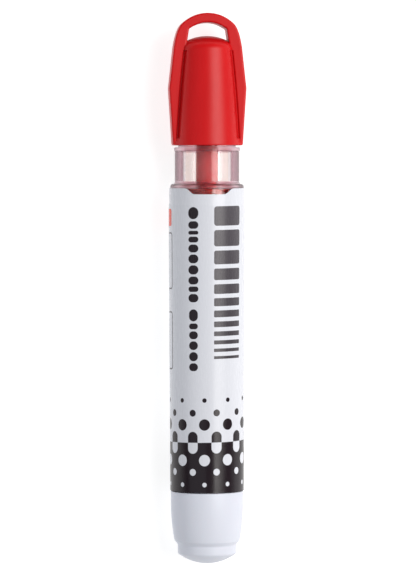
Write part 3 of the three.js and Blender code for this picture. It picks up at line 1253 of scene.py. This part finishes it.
@dataclass
class TailPlug(SubAssembly):
    """White plug that closes the rear of the tube, turned down to the cap's bore."""

    dome: float = 2.52
    dome_radius: float = 11.5
    stub_radius: float = 7.15
    stub_end: float = 4.7
    chamfer_end: float = 5.6
    chamfer_radius: float = 7.92
    rim_radius: float = 8.79
    curve_guide: Point = (8.64, 8.8)
    rim_start: float = 13.9
    rim_end: float = 17.7
    spigot_radius: float = 7.5
    spigot_end: float = 25.3
    wall: float = 1.5
    spigot_wall: float = 0.9
    hollow_guide: float = 8.0
    hollow_neck: float = 5.2
    hollow_floor: float = 3.4
    floor_guide: float = 2.2
    floor: float = 1.6

    def section(self) -> Outline:
        """Draws the wall, from the tip up the outside and down the hollow.

        Returns:
            Its section.
        """
        outline = Outline().to((0.0, 0.0))
        limit = math.asin((self.stub_radius - 0.35) / self.dome_radius)
        for step in range(1, 15):
            turn = limit * step / 14
            outline.to((self.dome_radius * math.sin(turn), self.dome_radius * (1 - math.cos(turn))))
        outline.bend((self.stub_radius, self.dome - 0.12), (self.stub_radius, self.dome + 0.45), 6)
        rise, brim = self.chamfer_radius, self.chamfer_end
        outline.corner((self.stub_radius, self.stub_end), (rise, brim), 0.25)
        outline.corner((rise, brim), (rise + 0.2, brim + 1.0), 0.12)
        outline.bend(self.curve_guide, (self.rim_radius, self.rim_start), 16)
        outline.corner((self.rim_radius, self.rim_end), (self.spigot_radius, self.rim_end), 0.12)
        outline.to((self.spigot_radius, self.rim_end))
        outline.corner((self.spigot_radius, self.spigot_end), (6.6, self.spigot_end), 0.2)
        inner = self.spigot_radius - self.spigot_wall
        outline.to((inner, self.spigot_end), (inner, self.rim_end + 1.0))
        narrow = self.stub_radius - self.wall
        outline.bend((inner, self.hollow_guide), (narrow, self.hollow_neck), 8)
        outline.to((narrow, self.hollow_floor))
        outline.bend((narrow, self.floor_guide), (0.0, self.floor), 8)
        return outline

    def build(self) -> bpy.types.Object:
        """Turns the plug and dresses it in white plastic."""
        plug = self.turned("TailPlug", self.section())
        return self.dress(plug, TAIL_WHITE.material(), "tail_plug", "tail_plug")


@dataclass
class Reservoir(SubAssembly):
    """Ink reservoir: a fibre core in a film wrap, with a vent straw in a groove along it."""

    rear: float = 25.5
    front: float = 91.2
    film_radius: float = 7.35
    film_thickness: float = 0.15
    core_radius: float = 7.1
    wick_bore: float = 2.75
    wick_depth: float = 7.2
    straw_radius: float = 0.7
    straw_wall: float = 0.25
    straw_offset: float = -6.0
    straw_inset: float = 1.0

    def core(self) -> bpy.types.Object:
        """The fibre core, with the socket for the wick and the groove for the straw.

        Returns:
            The piece.
        """
        socket = self.front - self.wick_depth
        outline = Outline().to((0.0, self.rear))
        outline.corner((self.core_radius, self.rear), (self.core_radius, self.front), 0.4)
        outline.corner((self.core_radius, self.front), (0.0, self.front), 0.5)
        outline.corner((self.wick_bore, self.front), (self.wick_bore, socket), 0.15)
        outline.to((self.wick_bore, socket), (0.0, socket))
        core = self.turned("ReservoirCore", outline)
        cut = Outline().to(
            (0.0, self.rear - 1.0),
            (self.straw_radius + 0.1, self.rear - 1.0),
            (self.straw_radius + 0.1, self.front + 1.0),
            (0.0, self.front + 1.0),
        )
        groove = Form().turn(cut, closed=False, steps=THIN_STEPS).shift(self.straw_offset)
        combine(core, [groove.place("Groove", self.site)], "DIFFERENCE")
        shade(core)
        return self.dress(core, CORE_FIBRE.material(), "reservoir_core", "ink_fibre")

    def film(self) -> bpy.types.Object:
        """The film wrap, open at both ends.

        Returns:
            The piece.
        """
        inner = self.film_radius - self.film_thickness
        outline = sleeve(inner, self.film_radius, (self.rear, self.front), 0.0, 0.04)
        film = self.turned("ReservoirFilm", outline, closed=True)
        return self.dress(film, WrapFilm().material(), "reservoir_film", "reservoir_wrap")

    def straw(self) -> bpy.types.Object:
        """The thin vent straw.

        Returns:
            The piece.
        """
        inner = self.straw_radius - self.straw_wall
        ends = (self.rear + self.straw_inset, self.front - self.straw_inset)
        outline = sleeve(inner, self.straw_radius, ends, 0.05, 0.05)
        form = Form().turn(outline, steps=THIN_STEPS).shift(self.straw_offset)
        straw = form.place("VentStraw", self.site)
        return self.dress(straw, LINER_WHITE.material(), "vent_straw", "seal")

    def build(self) -> list[bpy.types.Object]:
        """Builds the core, its wrap and the straw."""
        return [self.core(), self.film(), self.straw()]


@dataclass
class WritingEnd(SubAssembly):
    """Milky holder pressed into the stub, the wick that feeds it, and the nib in its nose."""

    start: float = 91.4
    tube_radius: float = 5.25
    tube_end: float = 102.4
    plug_radius: float = 6.3
    flange_start: float = 110.2
    flange_radius: float = 6.9
    flange_end: float = 111.3
    nose_root: float = 4.3
    nose_tip: float = 3.2
    nose_end: float = 115.6
    wick_bore: float = 2.75
    nib_bore: float = 2.35
    nib_start: float = 104.4
    wick_start: float = 84.2
    wick_end: float = 104.2
    wick_radius: float = 2.65
    nib_radius: float = 2.25
    nib_tip: float = 119.9
    nib_point: float = 0.9

    def holder(self) -> bpy.types.Object:
        """The holder: rear tube, pressed plug, flange and tapered nose.

        Returns:
            The piece.
        """
        outline = Outline().path(
            [
                ((self.wick_bore, self.start), 0.15),
                ((self.tube_radius, self.start), 0.3),
                ((self.tube_radius, self.tube_end), 0.3),
                ((self.plug_radius, self.tube_end), 0.3),
                ((self.plug_radius, self.flange_start), 0.1),
                ((self.flange_radius, self.flange_start), 0.15),
                ((self.flange_radius, self.flange_end), 0.3),
                ((self.nose_root, self.flange_end), 0.3),
                ((self.nose_tip, self.nose_end), 0.25),
                ((self.nib_bore, self.nose_end), 0.1),
                ((self.nib_bore, self.nib_start), 0.05),
                ((self.wick_bore, self.nib_start), 0.05),
            ]
        )
        holder = self.turned("NibHolder", outline, closed=True)
        return self.dress(holder, MILKY_HOLDER.material(self.site), "nib_holder", "holder")

    def wick(self) -> bpy.types.Object:
        """The fibre rod between the reservoir and the nib.

        Returns:
            The piece.
        """
        outline = Outline().to((0.0, self.wick_start))
        outline.corner((self.wick_radius, self.wick_start), (self.wick_radius, self.wick_end), 0.25)
        outline.corner((self.wick_radius, self.wick_end), (0.0, self.wick_end), 0.25)
        outline.to((0.0, self.wick_end))
        wick = self.turned("FeedWick", outline)
        return self.dress(wick, WICK_FIBRE.material(), "feed_wick", "ink_fibre")

    def nib(self) -> bpy.types.Object:
        """The bullet nib.

        Returns:
            The piece.
        """
        outline = Outline().to((0.0, self.nib_start))
        outline.corner((self.nib_radius, self.nib_start), (self.nib_radius, self.nose_end), 0.2)
        outline.to((self.nib_radius, self.nose_end))
        edge = self.nib_tip - self.nib_point / 3
        outline.bend((self.nib_radius, self.nib_tip - self.nib_point), (self.nib_point, edge), 16)
        outline.bend((self.nib_point / 2, self.nib_tip), (0.0, self.nib_tip), 6)
        nib = self.turned("BulletNib", outline)
        return self.dress(nib, NIB_FIBRE.material(), "nib", "ink_fibre")

    def build(self) -> list[bpy.types.Object]:
        """Builds the holder, the wick and the nib."""
        return [self.holder(), self.wick(), self.nib()]


@dataclass
class Cap(SubAssembly):
    """Red cap: a hollow cone with a domed crown, two flat rails and a loop over the crown."""

    body: ClassVar[Body] = Body.CAP
    mouth: float = 101.7
    mouth_radius: float = 8.46
    bore: float = 7.25
    bore_end: float = 111.5
    chamber: float = 5.9
    chamber_end: float = 126.4
    chamber_round: float = 1.6
    cone_guide: Point = (8.0, 113.2)
    cone_end: Point = (6.9, 124.62)
    edge_guide: Point = (6.9, 126.3)
    dome_start: Point = (5.3, 126.87)
    dome_radius: float = 11.3
    crown: float = 128.2
    rail_half: float = 3.6
    rail_round: float = 0.4
    rail_guide: Point = (8.9, 108.5)
    rail_widest: Point = (9.35, 115.5)
    rail_swell: Point = (8.75, 120.8)
    loop_foot: Point = (8.28, 125.3)
    loop_corner: Point = (7.65, 129.4)
    arc_end: float = 6.55
    arc_radius: float = 8.9
    loop_top: float = 133.68
    eye_top: float = 131.4
    eye_arc_radius: float = 7.0
    eye_arc_end: float = 4.0
    eye_guide: Point = (4.55, 130.0)
    eye_side: Point = (4.62, 129.4)
    eye_foot: Point = (5.15, 125.95)
    groove_width: float = 0.75
    groove_depth: float = 0.38
    groove_ease: float = 0.32
    liner_radius: float = 5.8
    liner_bore: float = 4.7
    liner_lip: float = 4.4
    liner_start: float = 111.7
    liner_end: float = 126.2
    liner_top: float = 125.1
    liner_round: float = 1.4

    def cone_outline(self) -> Outline:
        """The cone's face, from the mouth to where its edge rounds over."""
        outline = Outline().to((self.mouth_radius, self.mouth))
        return outline.bend(self.cone_guide, self.cone_end, 28)

    def cone(self) -> bpy.types.Object:
        """The solid cone with its domed crown.

        Returns:
            The piece.
        """
        side = self.cone_outline().points
        outline = Outline().to((0.0, self.mouth))
        outline.corner(side[0], side[1], 0.22)
        outline.to(*side[1:])
        outline.bend(self.edge_guide, self.dome_start, 10)
        outline.arc(self.dome_radius, self.crown, self.dome_start[0], 12)
        return self.turned("CapShell", outline)

    def hollow(self) -> bpy.types.Object:
        """The space inside the cap, as a solid that is cut from it.

        Returns:
            The piece.
        """
        outline = Outline().to(
            (0.0, self.mouth - 1.0),
            (self.bore + 0.3, self.mouth - 1.0),
            (self.bore + 0.3, self.mouth),
            (self.bore, self.mouth + 0.4),
            (self.bore, self.bore_end),
            (self.chamber, self.bore_end),
            (self.chamber, self.chamber_end - self.chamber_round),
        )
        end = (self.chamber - self.chamber_round, self.chamber_end)
        outline.bend((self.chamber, self.chamber_end), end, 8)
        outline.to((0.0, self.chamber_end))
        return self.turned("CapHollow", outline)

    def rails(self) -> bpy.types.Object:
        """The two rails and the loop that joins them, as one flat arch with rounded edges.

        Returns:
            The piece.
        """
        outside = Outline().to((self.mouth_radius, self.mouth))
        outside.bend(self.rail_guide, self.rail_widest, 10)
        outside.bend(self.rail_swell, self.loop_foot, 8)
        arc = (self.arc_radius, self.loop_top, self.arc_end)
        outside.bend(self.loop_corner, arc_foot(*arc), 8).arc(*arc, 15)
        eye = (self.eye_arc_radius, self.eye_top, self.eye_arc_end)
        inside = Outline().to((self.eye_foot[0], self.mouth), self.eye_foot, self.eye_side)
        inside.bend(self.eye_guide, arc_foot(*eye), 5).arc(*eye, 12)
        right_out, right_in = outside.points, inside.points
        left_out = [(-x, y) for x, y in reversed(right_out[:-1])]
        left_in = [(-x, y) for x, y in right_in]
        outline = [*right_out, *left_out, *left_in, *reversed(right_in[:-1])]
        form = Form().slab(outline, self.rail_half, self.rail_round)
        return form.place("Rails", self.site)

    def valley(self, side: int, face: int) -> bpy.types.Object:
        """The groove that parts one face of a rail from the cone, as a solid that is cut out.

        Args:
            side: 1 for the right rail and -1 for the left one.
            face: 1 for its front face and -1 for its back face.

        Returns:
            A strip with the groove's section, which also eases the rail's inner edge.
        """
        low, high = self.rail_half - self.groove_depth, self.rail_half + 2.6
        ease = self.groove_ease
        section = (
            (-self.groove_width, high),
            (-self.groove_width, self.rail_half + 0.95),
            (-self.groove_width + 0.2, self.rail_half + 0.35),
            (-self.groove_width + 0.38, low + 0.12),
            (-self.groove_width + 0.5, low),
            (-0.14, low),
            (-0.05, low + 0.04),
            (0.0, low + 0.14),
            (0.0, self.rail_half - ease),
            (ease * 0.1, self.rail_half - ease * 0.62),
            (ease * 0.38, self.rail_half - ease * 0.22),
            (ease, self.rail_half + 0.004),
            (ease, high),
        )
        rings = []
        for radius, height in self.cone_outline().points[2:]:
            edge = math.sqrt(radius**2 - self.rail_half**2)
            rings.append(
                [Vector((side * (edge + across), height, face * up)) for across, up in section]
            )
        return Form().loft(rings).place("Valley", self.site)

    def gusset(self, side: int, face: int) -> bpy.types.Object:
        """The small web that fills the foot of a groove, between the cone and the rail.

        Args:
            side: 1 for the right rail and -1 for the left one.
            face: 1 for its front face and -1 for its back face.

        Returns:
            The web, as a solid that is added.
        """
        foot = self.mouth + 0.04
        corners = (
            (7.35, self.mouth + 1.9, self.rail_half),
            (5.75, foot + 0.2, 6.15),
            (8.3, foot, self.rail_half + 0.05),
            (7.35, self.mouth + 1.9, self.rail_half - 0.6),
            (5.75, foot, 5.0),
            (8.2, foot, self.rail_half - 0.6),
        )
        form = Form()
        for across, height, up in corners:
            form.mesh.verts.new((side * across, height, face * up))
        bmesh.ops.convex_hull(form.mesh, input=form.mesh.verts)
        return form.clean().place("Gusset", self.site)

    def shell(self) -> bpy.types.Object:
        """The whole red moulding.

        Returns:
            The piece.
        """
        corners = [(side, face) for side in (1, -1) for face in (1, -1)]
        shell = self.cone()
        combine(shell, [self.rails()], "UNION")
        combine(shell, [self.valley(*corner) for corner in corners], "DIFFERENCE")
        combine(shell, [self.gusset(*corner) for corner in corners], "UNION")
        combine(shell, [self.hollow()], "DIFFERENCE")
        shade(shell)
        for face in shell.data.polygons:
            face.use_smooth = abs(face.normal.z) < 0.9999
        return self.dress(shell, CAP_RED.material(), "cap_shell", "cap")

    def liner(self) -> bpy.types.Object:
        """The inner cup that seals on the holder's nose.

        Returns:
            The piece.
        """
        lip = (self.liner_lip, self.liner_start)
        outer, end = self.liner_radius, self.liner_end
        outline = Outline().to(lip, (outer, self.liner_start), (outer, end - self.liner_round))
        outline.bend((outer, end), (outer - self.liner_round, end), 8).to((0.0, end))
        bore, top = self.liner_bore, self.liner_top
        inner = Outline().to((0.0, top), (bore - 0.7, top)).bend((bore, top), (bore, top - 0.7), 6)
        inner.to((bore, self.liner_start + 0.8), lip)
        form = Form().turn(outline, closed=False).turn(inner, closed=False)
        liner = form.place("CapLiner", self.site)
        return self.dress(liner, LINER_WHITE.material(), "cap_liner", "seal")

    def build(self) -> list[bpy.types.Object]:
        """Builds the red shell and its liner."""
        return [self.shell(), self.liner()]


# ---------------- table, light and camera


def stand(name: str, data: bpy.types.ID) -> bpy.types.Object:
    """Adds an object to the scene."""
    made = bpy.data.objects.new(name, data)
    bpy.context.scene.collection.objects.link(made)
    return made


@dataclass(frozen=True)
class SoftLight:
    """A square studio light."""

    name: str
    place: tuple[float, float, float]
    size: float
    power: float
    colour: tuple[float, float, float] = (1.0, 1.0, 1.0)

    def build(self, target: Vector) -> None:
        """Hangs the light and points it at its target.

        Args:
            target: The middle of what it lights, in metres.
        """
        data = bpy.data.lights.new(self.name, "AREA")
        data.shape = "SQUARE"
        data.size = self.size
        data.energy = self.power
        data.color = self.colour
        lamp = stand(self.name, data)
        lamp.location = self.place
        lamp.rotation_mode = "QUATERNION"
        lamp.rotation_quaternion = (target - Vector(self.place)).to_track_quat("-Z", "Y")


@dataclass
class Studio:
    """Pale table, soft light from the right and above, and a camera looking down at the marker."""

    site: Site
    camera_place: tuple[float, float, float] = (-0.058, 0.02995, 0.8373)
    camera_target: tuple[float, float, float] = (0.00024, -0.00115, 0.00933)
    lens: float = 209.9
    table_size: float = 4.0
    wall_radius: float = 3.8
    wall_height: float = 0.9
    ambient: float = 0.16
    lights: tuple[SoftLight, ...] = (
        SoftLight("Key", (0.46, 0.14, 0.74), 0.56, 7.5, (1.0, 0.98, 0.95)),
        SoftLight("Fill", (-0.5, -0.1, 0.75), 0.9, 1.5, (0.88, 0.94, 1.0)),
    )

    def set_piece(self, name: str, mesh: bmesh.types.BMesh, glow: float) -> None:
        """Adds a part of the studio in pale matt paint.

        Args:
            name: The part's name.
            mesh: Its mesh, in metres, which is freed.
            glow: How brightly it is lit by itself, so that it stays pale all over.
        """
        data = bpy.data.meshes.new(name)
        mesh.to_mesh(data)
        mesh.free()
        shader = Shader(f"{name} paint")
        tone = shader.noise(size=60.0, detail=2.0)
        white = shader.mix(tone, (0.36, 0.36, 0.36, 1.0), (0.4, 0.4, 0.4, 1.0))
        data.materials.append(
            shader.finish(
                Base_Color=white,
                Roughness=0.8,
                Emission_Color=(1.0, 1.0, 1.0, 1.0),
                Emission_Strength=glow,
            )
        )
        stand(name, data)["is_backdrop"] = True

    def table(self) -> None:
        """The pale table top, just clear of the marker."""
        mesh = bmesh.new()
        bmesh.ops.create_grid(mesh, x_segments=8, y_segments=8, size=self.table_size)
        bmesh.ops.translate(mesh, verts=mesh.verts, vec=(0, 0, -0.00002))
        self.set_piece("Table", mesh, 0.82)

    def wall(self) -> None:
        """A low round wall behind the table's edge, so that a low view ends on it."""
        mesh = bmesh.new()
        bmesh.ops.create_cone(
            mesh,
            cap_ends=False,
            segments=96,
            radius1=self.wall_radius,
            radius2=self.wall_radius,
            depth=self.wall_height,
        )
        bmesh.ops.translate(mesh, verts=mesh.verts, vec=(0, 0, self.wall_height / 2))
        self.set_piece("Wall", mesh, 0.42)

    def world(self) -> None:
        """Even white light from all round."""
        world = bpy.data.worlds.new("Studio")
        world.use_nodes = True
        background = world.node_tree.nodes["Background"]
        background.inputs["Color"].default_value = (1.0, 1.0, 1.0, 1.0)
        background.inputs["Strength"].default_value = self.ambient
        bpy.context.scene.world = world

    def camera(self) -> None:
        """The camera, with the cap's end of the marker at the top of its view."""
        data = bpy.data.cameras.new("Camera")
        data.lens = self.lens
        data.sensor_width = 36.0
        data.sensor_fit = "AUTO"
        data.clip_start, data.clip_end = 0.01, 20.0
        camera = stand("Camera", data)
        place, target = Vector(self.camera_place), Vector(self.camera_target)
        back = (place - target).normalized()
        right = Vector((0, 1, 0)).cross(back).normalized()
        up = back.cross(right)
        turn = Matrix((right, up, back)).transposed()
        camera.matrix_world = Matrix.Translation(place) @ turn.to_4x4()
        bpy.context.scene.camera = camera

    def build(self) -> None:
        """Sets up the table, the wall, the light and the camera."""
        self.table()
        self.wall()
        self.world()
        self.camera()
        for light in self.lights:
            light.build(Vector(self.camera_target))
        bpy.context.scene.view_settings.view_transform = "Standard"


def main() -> None:
    """Builds the marker piece by piece, then the studio round it."""
    logging.basicConfig(level=logging.INFO, format="%(name)s: %(message)s")
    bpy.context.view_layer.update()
    site = Site.of_frame()
    log.info("axis %.3f mm over the table, middle %.3f mm", site.axis_height, site.middle)
    Reservoir(site).build()
    WritingEnd(site).build()
    BarrelTube(site).build()
    Label(site).build()
    TailPlug(site).build()
    Cap(site).build()
    Studio(site).build()


if __name__ == "__main__":
    main()
